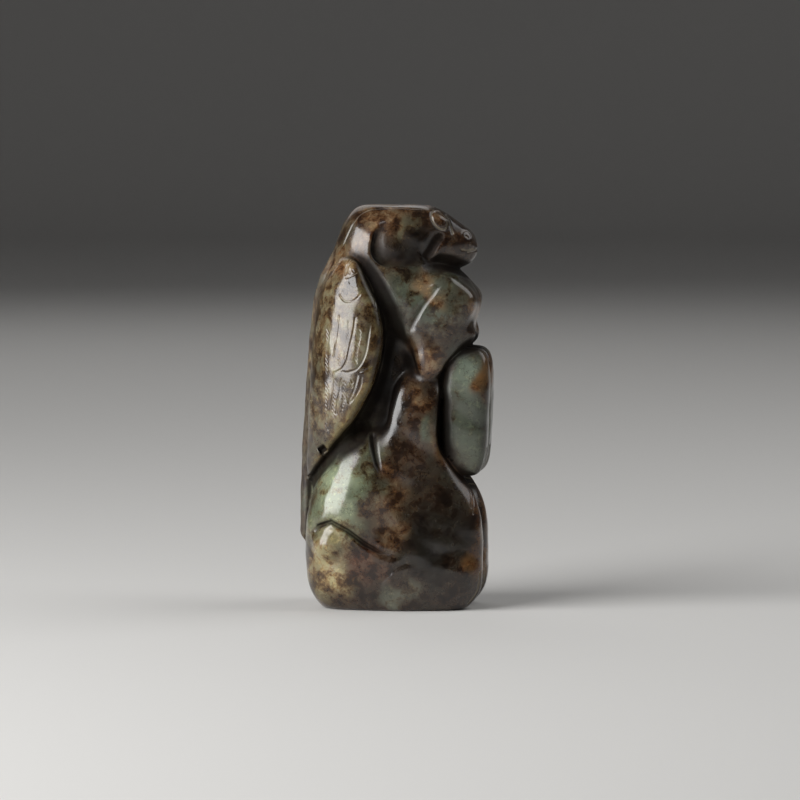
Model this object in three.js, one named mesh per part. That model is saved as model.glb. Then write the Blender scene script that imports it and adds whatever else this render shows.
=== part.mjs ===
// A jade carving of a winged beast sitting upright, cut from one pebble, in millimetres.
// X points the way the beast faces, Y goes across it, Z is up, and it stands on Z = 0.
// Both flanks are alike, so every form is given once, for the side where Y is positive.
// A form is a function of (x, w, z), with w the distance from the middle plane. It gives
// the distance to the form's skin, negative inside. Blending these distances makes the body.

import * as THREE from "three";

const HEIGHT = 68;
const MIDDLE_SOFTNESS = 0.1;
const GRID_STEP = 0.5;
const TRIANGLES = 9000;
const BASE_TOLERANCE = 0.05;

const LOW = [-18, -14, -1.4];
const HIGH = [18, 14, HEIGHT + 1.4];

const radians = (degrees) => (degrees * Math.PI) / 180;
const clamp01 = (t) => Math.min(Math.max(t, 0), 1);

// Union of two forms with a fillet about k wide
function blend(a, b, k) {
  const h = Math.max(k - Math.abs(a - b), 0) / k;
  return Math.min(a, b) - (h * h * k) / 4;
}

// Overlap of two forms with its edge rounded over k
function trim(a, b, k) {
  return -blend(-a, -b, k);
}

// Blunted ellipsoid. Power 2 is a true ellipsoid, a higher power is squarer.
// Tilt leans its top forward, yaw turns it about Z, roll leans its top to the middle.
function egg([cx, cw, cz], [rx, rw, rz], { power = 2, tilt = 0, yaw = 0, roll = 0 } = {}) {
  const [ct, st] = [Math.cos(radians(tilt)), Math.sin(radians(tilt))];
  const [cy, sy] = [Math.cos(radians(yaw)), Math.sin(radians(yaw))];
  const [cr, sr] = [Math.cos(radians(roll)), Math.sin(radians(roll))];
  return (px, pw, pz) => {
    const [x0, w0, z0] = [px - cx, pw - cw, pz - cz];
    const [x1, w1] = [x0 * cy + w0 * sy, w0 * cy - x0 * sy];
    const [w, z1] = [w1 * cr + z0 * sr, z0 * cr - w1 * sr];
    const [x, z] = [x1 * ct - z1 * st, x1 * st + z1 * ct];
    const [u, v, t] = [Math.abs(x) / rx, Math.abs(w) / rw, Math.abs(z) / rz];
    const size = (u ** power + v ** power + t ** power) ** (1 / power) + 1e-9;
    const slope = Math.hypot(u ** (power - 1) / rx, v ** (power - 1) / rw, t ** (power - 1) / rz);
    return (size - 1) / (slope * size ** (1 - power) + 1e-9);
  };
}

// Round rod through nodes [x, w, z, radius]
function rod(nodes) {
  const links = nodes.slice(1).map((end, i) => {
    const start = nodes[i];
    const run = end.map((value, k) => value - start[k]);
    return { start, run, square: run[0] ** 2 + run[1] ** 2 + run[2] ** 2 };
  });
  return (x, w, z) => {
    let nearest = Infinity;
    for (const { start, run, square } of links) {
      const [dx, dw, dz] = [x - start[0], w - start[1], z - start[2]];
      const t = clamp01((dx * run[0] + dw * run[1] + dz * run[2]) / square);
      const gap = Math.hypot(dx - t * run[0], dw - t * run[1], dz - t * run[2]);
      nearest = Math.min(nearest, gap - start[3] - t * run[3]);
    }
    return nearest;
  };
}

// Smooth curve through knots [height, value], level beyond its ends
function curve(knots) {
  const sorted = [...knots].sort((a, b) => a[0] - b[0]);
  const last = sorted.length - 1;
  const slopes = sorted.map((_, i) => {
    const [before, after] = [sorted[Math.max(i - 1, 0)], sorted[Math.min(i + 1, last)]];
    return (after[1] - before[1]) / (after[0] - before[0]);
  });
  return (z) => {
    const height = Math.min(Math.max(z, sorted[0][0]), sorted[last][0]);
    let i = 0;
    while (i < last - 1 && height > sorted[i + 1][0]) i += 1;
    const [[z0, v0], [z1, v1]] = [sorted[i], sorted[i + 1]];
    const span = z1 - z0;
    const t = (height - z0) / span;
    const rise = t * t * (3 - 2 * t);
    const leave = t * (1 - t) * (1 - t) * span * slopes[i];
    const arrive = t * t * (t - 1) * span * slopes[i + 1];
    return v0 + (v1 - v0) * rise + leave + arrive;
  };
}

// Groove along a side-view path of [x, z], cut into both flanks and fading out at its ends
function groove(path, width, depth, fadeIn, fadeOut) {
  const lengths = path.slice(1).map((end, i) => Math.hypot(end[0] - path[i][0], end[1] - path[i][1]));
  const total = lengths.reduce((sum, length) => sum + length, 0);
  return (x, w, z) => {
    let [nearest, along, passed] = [Infinity, 0, 0];
    for (let i = 0; i < lengths.length; i += 1) {
      const [ax, az] = path[i];
      const [ux, uz] = [path[i + 1][0] - ax, path[i + 1][1] - az];
      const t = clamp01(((x - ax) * ux + (z - az) * uz) / lengths[i] ** 2);
      const gap = Math.hypot(x - ax - t * ux, z - az - t * uz);
      if (gap < nearest) [nearest, along] = [gap, (passed + t * lengths[i]) / total];
      passed += lengths[i];
    }
    const fade = clamp01(along / fadeIn) * clamp01((1 - along) / fadeOut);
    const flank = clamp01((w - 2.5) / 1.5);
    return depth * flank * fade * fade * (3 - 2 * fade) * Math.exp(-((nearest / width) ** 2));
  };
}

// Torso: a deep column, the neck leaning over it, the throat and the breast
const CORE = egg([-4.2, 0, 30], [10.5, 6.6, 32], { power: 2.6 });
const NECK = egg([-2.6, 0, 59], [7.4, 7.4, 9.6], { tilt: -14 });
const THROAT = egg([2.4, 0, 52.4], [10, 8.3, 8.4], { tilt: 30 });
const BREAST = egg([6.6, 0, 50.8], [7, 7, 7.6]);
const FRONT_WEB = egg([8.4, 0, 33], [4.2, 4.4, 13], { power: 2.6 });

function torso(x, w, z) {
  const column = blend(CORE(x, w, z), NECK(x, w, z), 3);
  const chest = blend(blend(column, THROAT(x, w, z), 2.5), BREAST(x, w, z), 1.5);
  return blend(chest, FRONT_WEB(x, w, z), 1);
}

// Wings: one blunt shell round the back, its section set by the back line and the half
// width, cut away ahead of each wing's leading edge
const WING_CENTRE = -3;
const WING_POWER = 2.5;
const WING_TOP = 60.5;
const WING_FOOT = 21;
const BACK_LINE = curve([
  [66, -5.6], [62.5, -7.6], [58, -10.4], [54, -12.7], [48, -13.9], [40, -14.6], [30, -15.1],
  [22, -15.4],
]);
const WING_WIDTH = curve([
  [66, 6], [60, 8.6], [54, 10.6], [47, 11.7], [38, 12], [30, 11.5], [22, 10.2], [14, 9],
]);
const LEADING_EDGE = curve([
  [60, -7.2], [58.4, -5.6], [55, -3.9], [51, -2.1], [47, -1.4], [43, -1.7], [38.9, -2.8],
  [34.3, -4.9], [29.7, -8], [25.5, -11.2], [22.2, -13.8],
]);

function wingShell(x, w, z) {
  const [rx, rw] = [WING_CENTRE - BACK_LINE(z), WING_WIDTH(z)];
  const [u, v] = [Math.abs(x - WING_CENTRE) / rx, w / rw];
  const size = (u ** WING_POWER + v ** WING_POWER) ** (1 / WING_POWER) + 1e-9;
  const slope = Math.hypot(u ** (WING_POWER - 1) / rx, v ** (WING_POWER - 1) / rw);
  return (size - 1) / (slope * size ** (1 - WING_POWER) + 1e-9);
}

// Distance ahead of a line that gives x at each height
function aheadOf(line, x, z) {
  const reach = 0.05;
  const lean = (line(z + reach) - line(z - reach)) / (2 * reach);
  return (x - line(z)) / Math.hypot(1, lean);
}

function wings(x, w, z) {
  const shell = wingShell(x, w, z);
  const leaf = trim(shell, aheadOf(LEADING_EDGE, x, z), 2);
  const wing = trim(trim(leaf, z - WING_TOP, 2), WING_FOOT - z, 1);
  const under = trim(trim(shell + 1.6, x + 6.5, 4), z - WING_TOP, 3);
  return blend(trim(under, 16 - z, 3), wing, 0.5);
}

// Hind legs, folded under the beast, and the flat of the belly rising from them. The belly
// starts at its back line, and the belly and the knees end in one crisp lip at the front.
const BELLY = egg([3.2, 0, 29.3], [8, 9.4, 12.6], { power: 2.6, tilt: 4 });
const BELLY_BACK = curve([[42, 3], [38, 0.8], [32.7, -0.6], [25, -0.9]]);
const FRONT_LIP = curve([
  [37, 8], [31.3, 7.5], [27.2, 8], [24.4, 10.1], [21.2, 12.8], [15.7, 14.9], [11.2, 15.3],
]);
const HAUNCH = egg([-7.1, 4.4, 18.6], [6.5, 7.4, 13.4], { tilt: 20 });
const THIGH = egg([1.6, 4.7, 11], [13.6, 6, 15.2], { power: 2.3 });
const SEAT = egg([-1.4, 0, 6.5], [13.2, 10.6, 9.5], { power: 2.6 });
const SHANK = egg([-8, 4.9, 5.6], [6.4, 5.8, 6.6]);
const HEEL = egg([-10.3, 8.2, 11.3], [3.2, 4, 3.3]);
const FOOT = egg([6.4, 4.7, 5.6], [8.6, 5.8, 6.2], { power: 2.4 });

function hindquarters(x, w, z) {
  const leg = blend(blend(HAUNCH(x, w, z), THIGH(x, w, z), 5), SEAT(x, w, z), 3);
  const shin = blend(blend(leg, SHANK(x, w, z), 1.2), HEEL(x, w, z), 0.5);
  const belly = trim(BELLY(x, w, z), -aheadOf(BELLY_BACK, x, z), 1.2);
  return trim(blend(belly, blend(shin, FOOT(x, w, z), 1), 3), aheadOf(FRONT_LIP, x, z), 0.7);
}

// Forelegs, folded at the chest and flat on their outer face, with the paws hanging in front of
// the belly
const ARM_FACE = 8.2;
const UPPER_ARM = egg([7.7, 3.7, 49.8], [4.8, 5.3, 6.7], { power: 3.2, tilt: 36 });
const ELBOW = rod([[6.5, 5.6, 46, 3.5], [6.2, 6.6, 41.1, 2]]);
const FOREARM = rod([[6.6, 6.4, 42.8, 2.2], [11.4, 4.2, 46.4, 2.2]]);
const PAW = egg([11.9, 3.25, 33.3], [4, 3.4, 10.8], { power: 4.2, tilt: 2 });

function foreleg(x, w, z) {
  const arm = blend(blend(UPPER_ARM(x, w, z), ELBOW(x, w, z), 2), FOREARM(x, w, z), 1.8);
  return trim(arm, w - ARM_FACE, 1.5);
}

// Head, looking straight ahead, with the ears laid back
const SKULL = egg([1.6, 0, 62.6], [7.8, 6.7, 5.6], { power: 2.3 });
const MUZZLE = egg([6.6, 0, 61.9], [7.2, 4.4, 4.6], { tilt: 16 });
const NOSE = egg([10.6, 1.4, 61.9], [2.4, 2, 2.2]);
const JAW = egg([8.6, 0, 59.3], [3.9, 3.2, 1.8], { tilt: 4 });
const BROW = egg([6.2, 3.1, 65.9], [2.9, 1.5, 1.1], { tilt: 16, yaw: 12 });
const CHEEK = egg([4.4, 3.9, 60.9], [2.7, 2.7, 2.7]);
const EYE = egg([7.4, 3.5, 65.1], [1.1, 1.2, 1.8], { tilt: -33, yaw: 15 });
const EAR_LINE = curve([
  [66.5, 0], [65.3, -1.8], [63.5, -3.1], [61.8, -3.6], [60.2, -3.7], [58.6, -3.3], [57, -2.4],
]);
const EAR_BACK = -3.7;
const EAR_FLOOR = 6.1;
const EAR_NARROWING = 0.08;
const EAR_FOOT = 57.5;
const EAR = egg([-0.7, 4.5, 61.3], [2.4, 1.8, 4], { power: 2.4, tilt: -6 });

// Side of the head ahead of the mane, sunk below it and narrowing to the muzzle
function earRecess(x, w, z) {
  const floor = EAR_FLOOR - EAR_NARROWING * (x - EAR_BACK) - w;
  return trim(trim(floor, -aheadOf(EAR_LINE, x, z), 0.4), EAR_FOOT - z, 3);
}

function head(x, w, z) {
  const snout = blend(blend(SKULL(x, w, z), MUZZLE(x, w, z), 2), NOSE(x, w, z), 0.9);
  const face = blend(blend(snout, JAW(x, w, z), 0.4), BROW(x, w, z), 0.8);
  return blend(blend(face, EYE(x, w, z), 0.3), CHEEK(x, w, z), 1.2);
}

// Mane and spine: one ridge over the crown and down the whole back
const RIDGE_RADIUS = 2.3;
const RIDGE_LINE = [
  [4.5, 65.6], [1, 66.1], [-3.9, 66], [-6.6, 63.4], [-8.4, 59.7], [-10.9, 55.3], [-12, 51.3],
  [-12.6, 46], [-13.1, 39], [-13.5, 33], [-13.9, 26], [-14.1, 20], [-14.2, 12.8],
];
const TAIL_TIP = [-14.3, 0, 11.2, 1.4];
const RIDGE = rod([...RIDGE_LINE.map(([x, z]) => [x, 0, z, RIDGE_RADIUS]), TAIL_TIP]);

// Creases between the forms, each as path, width, depth and the share that fades at its ends
const CREASES = [
  groove([[8.9, 55.6], [7.6, 54.4], [5.2, 51.4], [3.4, 48.4], [2.4, 45.2]], 0.5, 0.25, 0.3, 0.3),
  groove([[-3.5, 30.4], [-2.9, 27.4], [-2.3, 24.9], [-1.2, 22]], 0.5, 0.4, 0.2, 0.4),
  groove(
    [[-13.3, 11.8], [-12.2, 14.2], [-9.9, 15.1], [-7.2, 13.7], [-4.5, 11.6], [-1.7, 10], [2, 9.1]],
    0.45, 0.45, 0.2, 0.3,
  ),
  groove([[4.7, 9.3], [0.6, 7.2], [-2.2, 4.2], [-3.1, 2.8]], 0.4, 0.12, 0.3, 0.3),
  groove([[8.4, 63.6], [7.2, 62.2], [6.2, 60.4], [4.8, 58.6]], 0.8, 0.6, 0.2, 0.2),
  groove([[-12.4, 26.6], [-11, 27.6]], 0.6, 0.6, 0.2, 0.2),
];

function beast(x, y, z) {
  const w = Math.hypot(y, MIDDLE_SOFTNESS);
  let skin = blend(torso(x, w, z), wings(x, w, z), 0.6);
  skin = blend(skin, hindquarters(x, w, z), 1);
  skin = blend(skin, foreleg(x, w, z), 1.6);
  skin = blend(skin, PAW(x, w, z), 0.4);
  skin = blend(skin, head(x, w, z), 0.7);
  skin = trim(skin, -earRecess(x, w, z), 0.4);
  skin = blend(skin, EAR(x, w, z), 0.3);
  skin = blend(skin, RIDGE(x, w, z), 0.5);
  for (const crease of CREASES) skin += crease(x, w, z);
  return trim(trim(skin, -z, 0.6), z - HEIGHT, 0.5);
}

// Samples of the distance on a grid of cubes
function sample(field) {
  const counts = LOW.map((low, k) => Math.ceil((HIGH[k] - low) / GRID_STEP) + 1);
  const [nx, ny, nz] = counts;
  const values = new Float64Array(nx * ny * nz);
  const place = (i, j, k) => [LOW[0] + i * GRID_STEP, LOW[1] + j * GRID_STEP, LOW[2] + k * GRID_STEP];
  for (let k = 0, n = 0; k < nz; k += 1) {
    for (let j = 0; j < ny; j += 1) {
      for (let i = 0; i < nx; i += 1, n += 1) values[n] = field(...place(i, j, k)) || 1e-6;
    }
  }
  return { counts, values };
}

// The six tetrahedra of a cube, as corners whose bits 1, 2 and 4 step along X, Y and Z
const TETRAHEDRA = [
  [0, 1, 3, 7], [0, 1, 5, 7], [0, 2, 3, 7], [0, 2, 6, 7], [0, 4, 5, 7], [0, 4, 6, 7],
];
const EDGE_MARGIN = 0.04;

// Closed triangle mesh of the zero surface, faces turned outward
function skinOf({ counts: [nx, ny, nz], values }) {
  const points = [];
  const faces = [];
  const known = new Map();
  const spot = (n) => [
    LOW[0] + (n % nx) * GRID_STEP,
    LOW[1] + (Math.floor(n / nx) % ny) * GRID_STEP,
    LOW[2] + Math.floor(n / (nx * ny)) * GRID_STEP,
  ];
  const crossing = (a, b) => {
    const [low, high] = a < b ? [a, b] : [b, a];
    const key = low * values.length + high;
    if (!known.has(key)) {
      const share = values[low] / (values[low] - values[high]);
      const t = Math.min(Math.max(share, EDGE_MARGIN), 1 - EDGE_MARGIN);
      const [p, q] = [spot(low), spot(high)];
      known.set(key, points.length);
      points.push(p.map((value, k) => value + t * (q[k] - value)));
    }
    return known.get(key);
  };
  const addFace = (corners, inside, outside) => {
    const [a, b, c] = corners.map((n) => new THREE.Vector3(...points[n]));
    const outward = new THREE.Vector3();
    outside.forEach((n) => outward.addScaledVector(new THREE.Vector3(...spot(n)), 1 / outside.length));
    inside.forEach((n) => outward.addScaledVector(new THREE.Vector3(...spot(n)), -1 / inside.length));
    const turned = b.sub(a).cross(c.sub(a)).dot(outward) < 0;
    faces.push(turned ? [corners[0], corners[2], corners[1]] : corners);
  };
  for (let k = 0; k < nz - 1; k += 1) {
    for (let j = 0; j < ny - 1; j += 1) {
      for (let i = 0; i < nx - 1; i += 1) {
        const first = i + nx * (j + ny * k);
        const corner = (bits) => first + (bits & 1) + nx * ((bits >> 1) & 1) + nx * ny * (bits >> 2);
        for (const tetrahedron of TETRAHEDRA) {
          const nodes = tetrahedron.map(corner);
          const inside = nodes.filter((n) => values[n] < 0);
          const outside = nodes.filter((n) => values[n] >= 0);
          if (inside.length === 1 || inside.length === 3) {
            const [lone, rest] = inside.length === 1 ? [inside[0], outside] : [outside[0], inside];
            addFace(rest.map((n) => crossing(lone, n)), inside, outside);
          } else if (inside.length === 2) {
            const pairs = [[0, 0], [0, 1], [1, 1], [1, 0]];
            const [a, b, c, d] = pairs.map(([p, q]) => crossing(inside[p], outside[q]));
            addFace([a, b, c], inside, outside);
            addFace([a, c, d], inside, outside);
          }
        }
      }
    }
  }
  return { points, faces };
}

// Smallest-first queue of edges by cost
class Queue {
  constructor() {
    this.items = [];
  }

  add(item) {
    const { items } = this;
    let n = items.push(item) - 1;
    while (n > 0) {
      const parent = (n - 1) >> 1;
      if (items[parent].cost <= items[n].cost) break;
      [items[parent], items[n]] = [items[n], items[parent]];
      n = parent;
    }
  }

  take() {
    const { items } = this;
    const first = items[0];
    const last = items.pop();
    if (items.length) {
      items[0] = last;
      for (let n = 0; ; ) {
        const [left, right] = [2 * n + 1, 2 * n + 2];
        let least = n;
        if (left < items.length && items[left].cost < items[least].cost) least = left;
        if (right < items.length && items[right].cost < items[least].cost) least = right;
        if (least === n) break;
        [items[least], items[n]] = [items[n], items[least]];
        n = least;
      }
    }
    return first;
  }
}

// Share of a face's weight that holds a point near where it was
const HOLD = 0.002;

// Sum of squared distances to a face's plane, as the ten numbers of a symmetric form
function planeForm(a, b, c) {
  const cross = new THREE.Vector3().subVectors(b, a).cross(new THREE.Vector3().subVectors(c, a));
  const area = cross.length() / 2;
  const { x, y, z } = cross.normalize();
  const d = -(x * a.x + y * a.y + z * a.z);
  return [x * x, x * y, x * z, x * d, y * y, y * z, y * d, z * z, z * d, d * d].map((v) => v * area);
}

function pointForm(p, weight) {
  const square = p.lengthSq();
  return [1, 0, 0, -p.x, 1, 0, -p.y, 1, -p.z, square].map((v) => v * weight);
}

const sumForm = (a, b) => a.map((value, k) => value + b[k]);

function formValue([xx, xy, xz, xd, yy, yz, yd, zz, zd, dd], { x, y, z }) {
  const square = xx * x * x + yy * y * y + zz * z * z;
  return square + 2 * (xy * x * y + xz * x * z + yz * y * z + xd * x + yd * y + zd * z) + dd;
}

function formLowest([xx, xy, xz, xd, yy, yz, yd, zz, zd]) {
  const matrix = new THREE.Matrix3(xx, xy, xz, xy, yy, yz, xz, yz, zz);
  return new THREE.Vector3(-xd, -yd, -zd).applyMatrix3(matrix.invert());
}

// Fewer triangles for the same skin: the edge whose loss moves the skin least goes first
function simplified({ points, faces }, target) {
  const spots = points.map((p) => new THREE.Vector3(...p));
  const forms = spots.map(() => new Array(10).fill(0));
  const around = spots.map(() => new Set());
  const stamps = new Int32Array(spots.length);
  const alive = faces.map((face, n) => {
    const corners = face.map((v) => spots[v]);
    const plane = planeForm(...corners);
    const area = new THREE.Triangle(...corners).getArea();
    face.forEach((v) => {
      forms[v] = sumForm(sumForm(forms[v], plane), pointForm(spots[v], HOLD * area));
      around[v].add(n);
    });
    return [...face];
  });
  const queue = new Queue();
  const offer = (a, b) => {
    const form = sumForm(forms[a], forms[b]);
    const spot = formLowest(form);
    queue.add({ a, b, spot, form, cost: formValue(form, spot), stamp: stamps[a] + stamps[b] });
  };
  const ring = (v) => {
    const near = new Set();
    around[v].forEach((n) => alive[n].forEach((u) => near.add(u)));
    near.delete(v);
    return near;
  };
  const keepsShape = (v, other, spot) => [...around[v]].every((n) => {
    const face = alive[n];
    if (face.includes(other)) return true;
    const before = new THREE.Triangle(...face.map((u) => spots[u]));
    const after = new THREE.Triangle(...face.map((u) => (u === v ? spot : spots[u])));
    const [was, is] = [before.getNormal(new THREE.Vector3()), after.getNormal(new THREE.Vector3())];
    return after.getArea() > 1e-4 && was.dot(is) > 0.25;
  });
  for (const [a, b, c] of faces) {
    if (a < b) offer(a, b);
    if (b < c) offer(b, c);
    if (c < a) offer(c, a);
  }
  let count = faces.length;
  while (count > target && queue.items.length) {
    const { a, b, spot, form, stamp } = queue.take();
    if (stamp !== stamps[a] + stamps[b] || !around[a].size || !around[b].size) continue;
    const [ringA, ringB] = [ring(a), ring(b)];
    const shared = [...ringA].filter((v) => ringB.has(v));
    if (!ringA.has(b) || shared.length !== 2) continue;
    if (!keepsShape(a, b, spot) || !keepsShape(b, a, spot)) continue;
    for (const n of [...around[b]]) {
      const face = alive[n];
      if (face.includes(a)) {
        face.forEach((v) => around[v].delete(n));
        alive[n] = null;
        count -= 1;
      } else {
        face[face.indexOf(b)] = a;
        around[a].add(n);
      }
    }
    around[b].clear();
    spots[a].copy(spot);
    forms[a] = form;
    stamps[a] += 1 + stamps[b];
    ring(a).forEach((v) => offer(a, v));
  }
  return { spots, faces: alive.filter((face) => face) };
}

// Mesh of the beast, centred over the origin, with its base points exactly on the floor
function beastGeometry() {
  const { spots, faces } = simplified(skinOf(sample(beast)), TRIANGLES);
  const used = new Map();
  const positions = [];
  const index = faces.flat().map((v) => {
    if (!used.has(v)) {
      const { x, y, z } = spots[v];
      used.set(v, used.size);
      positions.push(x, y, Math.abs(z) < BASE_TOLERANCE ? 0 : z);
    }
    return used.get(v);
  });
  const geometry = new THREE.BufferGeometry();
  geometry.setAttribute("position", new THREE.Float32BufferAttribute(positions, 3));
  geometry.setIndex(index);
  geometry.computeBoundingBox();
  const { x, y } = geometry.boundingBox.getCenter(new THREE.Vector3());
  geometry.translate(-x, -y, 0);
  geometry.computeVertexNormals();
  return geometry;
}

function beastCarving() {
  const jade = new THREE.MeshStandardMaterial({ color: 0x7d8268, roughness: 0.25, metalness: 0 });
  const mesh = new THREE.Mesh(beastGeometry(), jade);
  mesh.name = "beast_carving";
  return mesh;
}

const part = new THREE.Group();
part.name = "jade_mythical_beast_carving";
part.add(beastCarving());

export default part;
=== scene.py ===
"""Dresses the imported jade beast: fine carving, mottled stone, pale floor, soft light and camera."""
import math

import bpy
import numpy as np
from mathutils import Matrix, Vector


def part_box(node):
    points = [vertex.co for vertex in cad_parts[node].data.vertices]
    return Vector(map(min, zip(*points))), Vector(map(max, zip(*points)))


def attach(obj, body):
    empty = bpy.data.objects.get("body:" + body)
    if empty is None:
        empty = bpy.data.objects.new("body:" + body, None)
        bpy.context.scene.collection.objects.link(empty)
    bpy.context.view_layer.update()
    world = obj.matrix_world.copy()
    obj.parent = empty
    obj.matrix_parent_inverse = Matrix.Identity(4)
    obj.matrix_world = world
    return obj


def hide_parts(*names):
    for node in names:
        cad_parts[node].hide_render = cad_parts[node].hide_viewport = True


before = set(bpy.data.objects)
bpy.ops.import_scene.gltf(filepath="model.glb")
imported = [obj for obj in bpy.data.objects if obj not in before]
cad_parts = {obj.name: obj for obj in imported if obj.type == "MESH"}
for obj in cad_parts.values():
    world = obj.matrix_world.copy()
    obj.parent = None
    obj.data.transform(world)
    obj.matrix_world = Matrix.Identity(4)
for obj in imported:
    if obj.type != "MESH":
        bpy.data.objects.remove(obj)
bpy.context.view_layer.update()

# The carving is worked out in millimetres, in the model's own proportions, and then fitted to the CAD box
MM = 0.001
HEIGHT = 68.0
MIDDLE_SOFTNESS = 0.1
GRID_STEP = 0.55
LOW = np.array([-18.0, -14.0, -1.4])
HIGH = np.array([18.0, 14.0, HEIGHT + 1.4])


# The photo looks at the right flank from a little ahead of it and a little above
AZIMUTH = math.radians(6)
ELEVATION = math.radians(4)


def sight_axes():
    """Right, up and backward as the photo sees them."""
    level = math.cos(ELEVATION)
    back = np.array([math.sin(AZIMUTH) * level, -math.cos(AZIMUTH) * level, math.sin(ELEVATION)])
    right = np.array([math.cos(AZIMUTH), math.sin(AZIMUTH), 0])
    return right, np.cross(back, right), back


SIGHT = sight_axes()


# Distance fields: each form gives the distance to its skin, negative inside

def blend(a, b, k):
    """Union of two forms with a fillet about k wide."""
    h = np.maximum(k - np.abs(a - b), 0.0) / k
    return np.minimum(a, b) - h * h * k / 4


def trim(a, b, k):
    """Overlap of two forms with its edge rounded over k."""
    return -blend(-a, -b, k)


def egg(centre, radii, power=2.0, tilt=0.0, yaw=0.0, roll=0.0):
    """Blunted ellipsoid. Tilt leans its top forward, yaw turns it about Z, roll leans it to the middle."""
    ct, st = math.cos(math.radians(tilt)), math.sin(math.radians(tilt))
    cy, sy = math.cos(math.radians(yaw)), math.sin(math.radians(yaw))
    cr, sr = math.cos(math.radians(roll)), math.sin(math.radians(roll))

    def distance(x, w, z):
        x, w, z = x - centre[0], w - centre[1], z - centre[2]
        x, w = x * cy + w * sy, w * cy - x * sy
        w, z = w * cr + z * sr, z * cr - w * sr
        x, z = x * ct - z * st, x * st + z * ct
        u, v, t = np.abs(x) / radii[0], np.abs(w) / radii[1], np.abs(z) / radii[2]
        size = (u**power + v**power + t**power) ** (1 / power) + 1e-9
        slope = np.sqrt(
            (u ** (power - 1) / radii[0]) ** 2
            + (v ** (power - 1) / radii[1]) ** 2
            + (t ** (power - 1) / radii[2]) ** 2
        )
        return (size - 1) / (slope * size ** (1 - power) + 1e-9)

    return distance


def rod(nodes):
    """Round rod through nodes (x, w, z, radius)."""

    def distance(x, w, z):
        nearest = np.inf
        for start, end in zip(nodes[:-1], nodes[1:]):
            run = np.subtract(end, start)
            dx, dw, dz = x - start[0], w - start[1], z - start[2]
            t = np.clip((dx * run[0] + dw * run[1] + dz * run[2]) / (run[:3] @ run[:3]), 0, 1)
            gap = np.sqrt((dx - t * run[0]) ** 2 + (dw - t * run[1]) ** 2 + (dz - t * run[2]) ** 2)
            nearest = np.minimum(nearest, gap - start[3] - t * run[3])
        return nearest

    return distance


def curve(knots):
    """Smooth curve through knots (height, value), level beyond its ends."""
    heights, values = np.array(sorted(knots), float).T
    last = len(heights) - 1
    before, after = np.maximum(np.arange(last + 1) - 1, 0), np.minimum(np.arange(last + 1) + 1, last)
    slopes = (values[after] - values[before]) / (heights[after] - heights[before])

    def value(z):
        height = np.clip(z, heights[0], heights[-1])
        i = np.clip(np.searchsorted(heights, height, side="left") - 1, 0, last - 1)
        span = heights[i + 1] - heights[i]
        t = (height - heights[i]) / span
        rise = t * t * (3 - 2 * t)
        leave = t * (1 - t) * (1 - t) * span * slopes[i]
        arrive = t * t * (t - 1) * span * slopes[i + 1]
        return values[i] + (values[i + 1] - values[i]) * rise + leave + arrive

    return value


def groove(path, width, depth, fade_in, fade_out):
    """Groove along a side-view path of (x, z), cut into both flanks and fading out at its ends."""
    path = np.array(path, float)
    lengths = np.hypot(*np.diff(path, axis=0).T)
    passed = np.concatenate([[0], np.cumsum(lengths)])

    def cut(x, w, z):
        nearest, along = np.full(x.shape, np.inf), np.zeros(x.shape)
        for i, length in enumerate(lengths):
            (ax, az), (ux, uz) = path[i], path[i + 1] - path[i]
            t = np.clip(((x - ax) * ux + (z - az) * uz) / length**2, 0, 1)
            gap = np.hypot(x - ax - t * ux, z - az - t * uz)
            closer = gap < nearest
            nearest = np.where(closer, gap, nearest)
            along = np.where(closer, (passed[i] + t * length) / passed[-1], along)
        fade = np.clip(along / fade_in, 0, 1) * np.clip((1 - along) / fade_out, 0, 1)
        flank = np.clip((w - 2.5) / 1.5, 0, 1)
        return depth * flank * fade * fade * (3 - 2 * fade) * np.exp(-((nearest / width) ** 2))

    return cut


# Torso: a deep column, the neck leaning over it, the throat and the breast
CORE = egg((-4.2, 0, 30), (10.5, 6.6, 32), power=2.6)
NECK = egg((-2.6, 0, 59), (7.4, 7.4, 9.6), tilt=-14)
THROAT = egg((2.4, 0, 52.4), (10, 8.3, 8.4), tilt=30)
BREAST = egg((6.6, 0, 50.8), (7, 7, 7.6))
FRONT_WEB = egg((8.4, 0, 33), (4.2, 4.4, 13), power=2.6)


def torso(x, w, z):
    column = blend(CORE(x, w, z), NECK(x, w, z), 3)
    chest = blend(blend(column, THROAT(x, w, z), 2.5), BREAST(x, w, z), 1.5)
    return blend(chest, FRONT_WEB(x, w, z), 1)


# Wings: one blunt shell round the back, cut away ahead of each wing's leading edge
WING_CENTRE = -3.0
WING_POWER = 2.5
WING_TOP = 60.5
WING_FOOT = 21.0
BACK_LINE = curve(
    [(66, -5.6), (62.5, -7.6), (58, -10.4), (54, -12.7), (48, -13.9), (40, -14.6), (30, -15.1), (22, -15.4)]
)
WING_WIDTH = curve([(66, 6), (60, 8.6), (54, 10.6), (47, 11.7), (38, 12), (30, 11.5), (22, 10.2), (14, 9)])
LEADING_EDGE = curve(
    [
        (60, -7.2), (58.4, -5.6), (55, -3.9), (51, -2.1), (47, -1.4), (43, -1.7),
        (38.9, -2.8), (34.3, -4.9), (29.7, -8), (25.5, -11.2), (22.2, -13.8),
    ]
)


def wing_shell(x, w, z):
    rx, rw = WING_CENTRE - BACK_LINE(z), WING_WIDTH(z)
    u, v = np.abs(x - WING_CENTRE) / rx, w / rw
    size = (u**WING_POWER + v**WING_POWER) ** (1 / WING_POWER) + 1e-9
    slope = np.hypot(u ** (WING_POWER - 1) / rx, v ** (WING_POWER - 1) / rw)
    return (size - 1) / (slope * size ** (1 - WING_POWER) + 1e-9)


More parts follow.
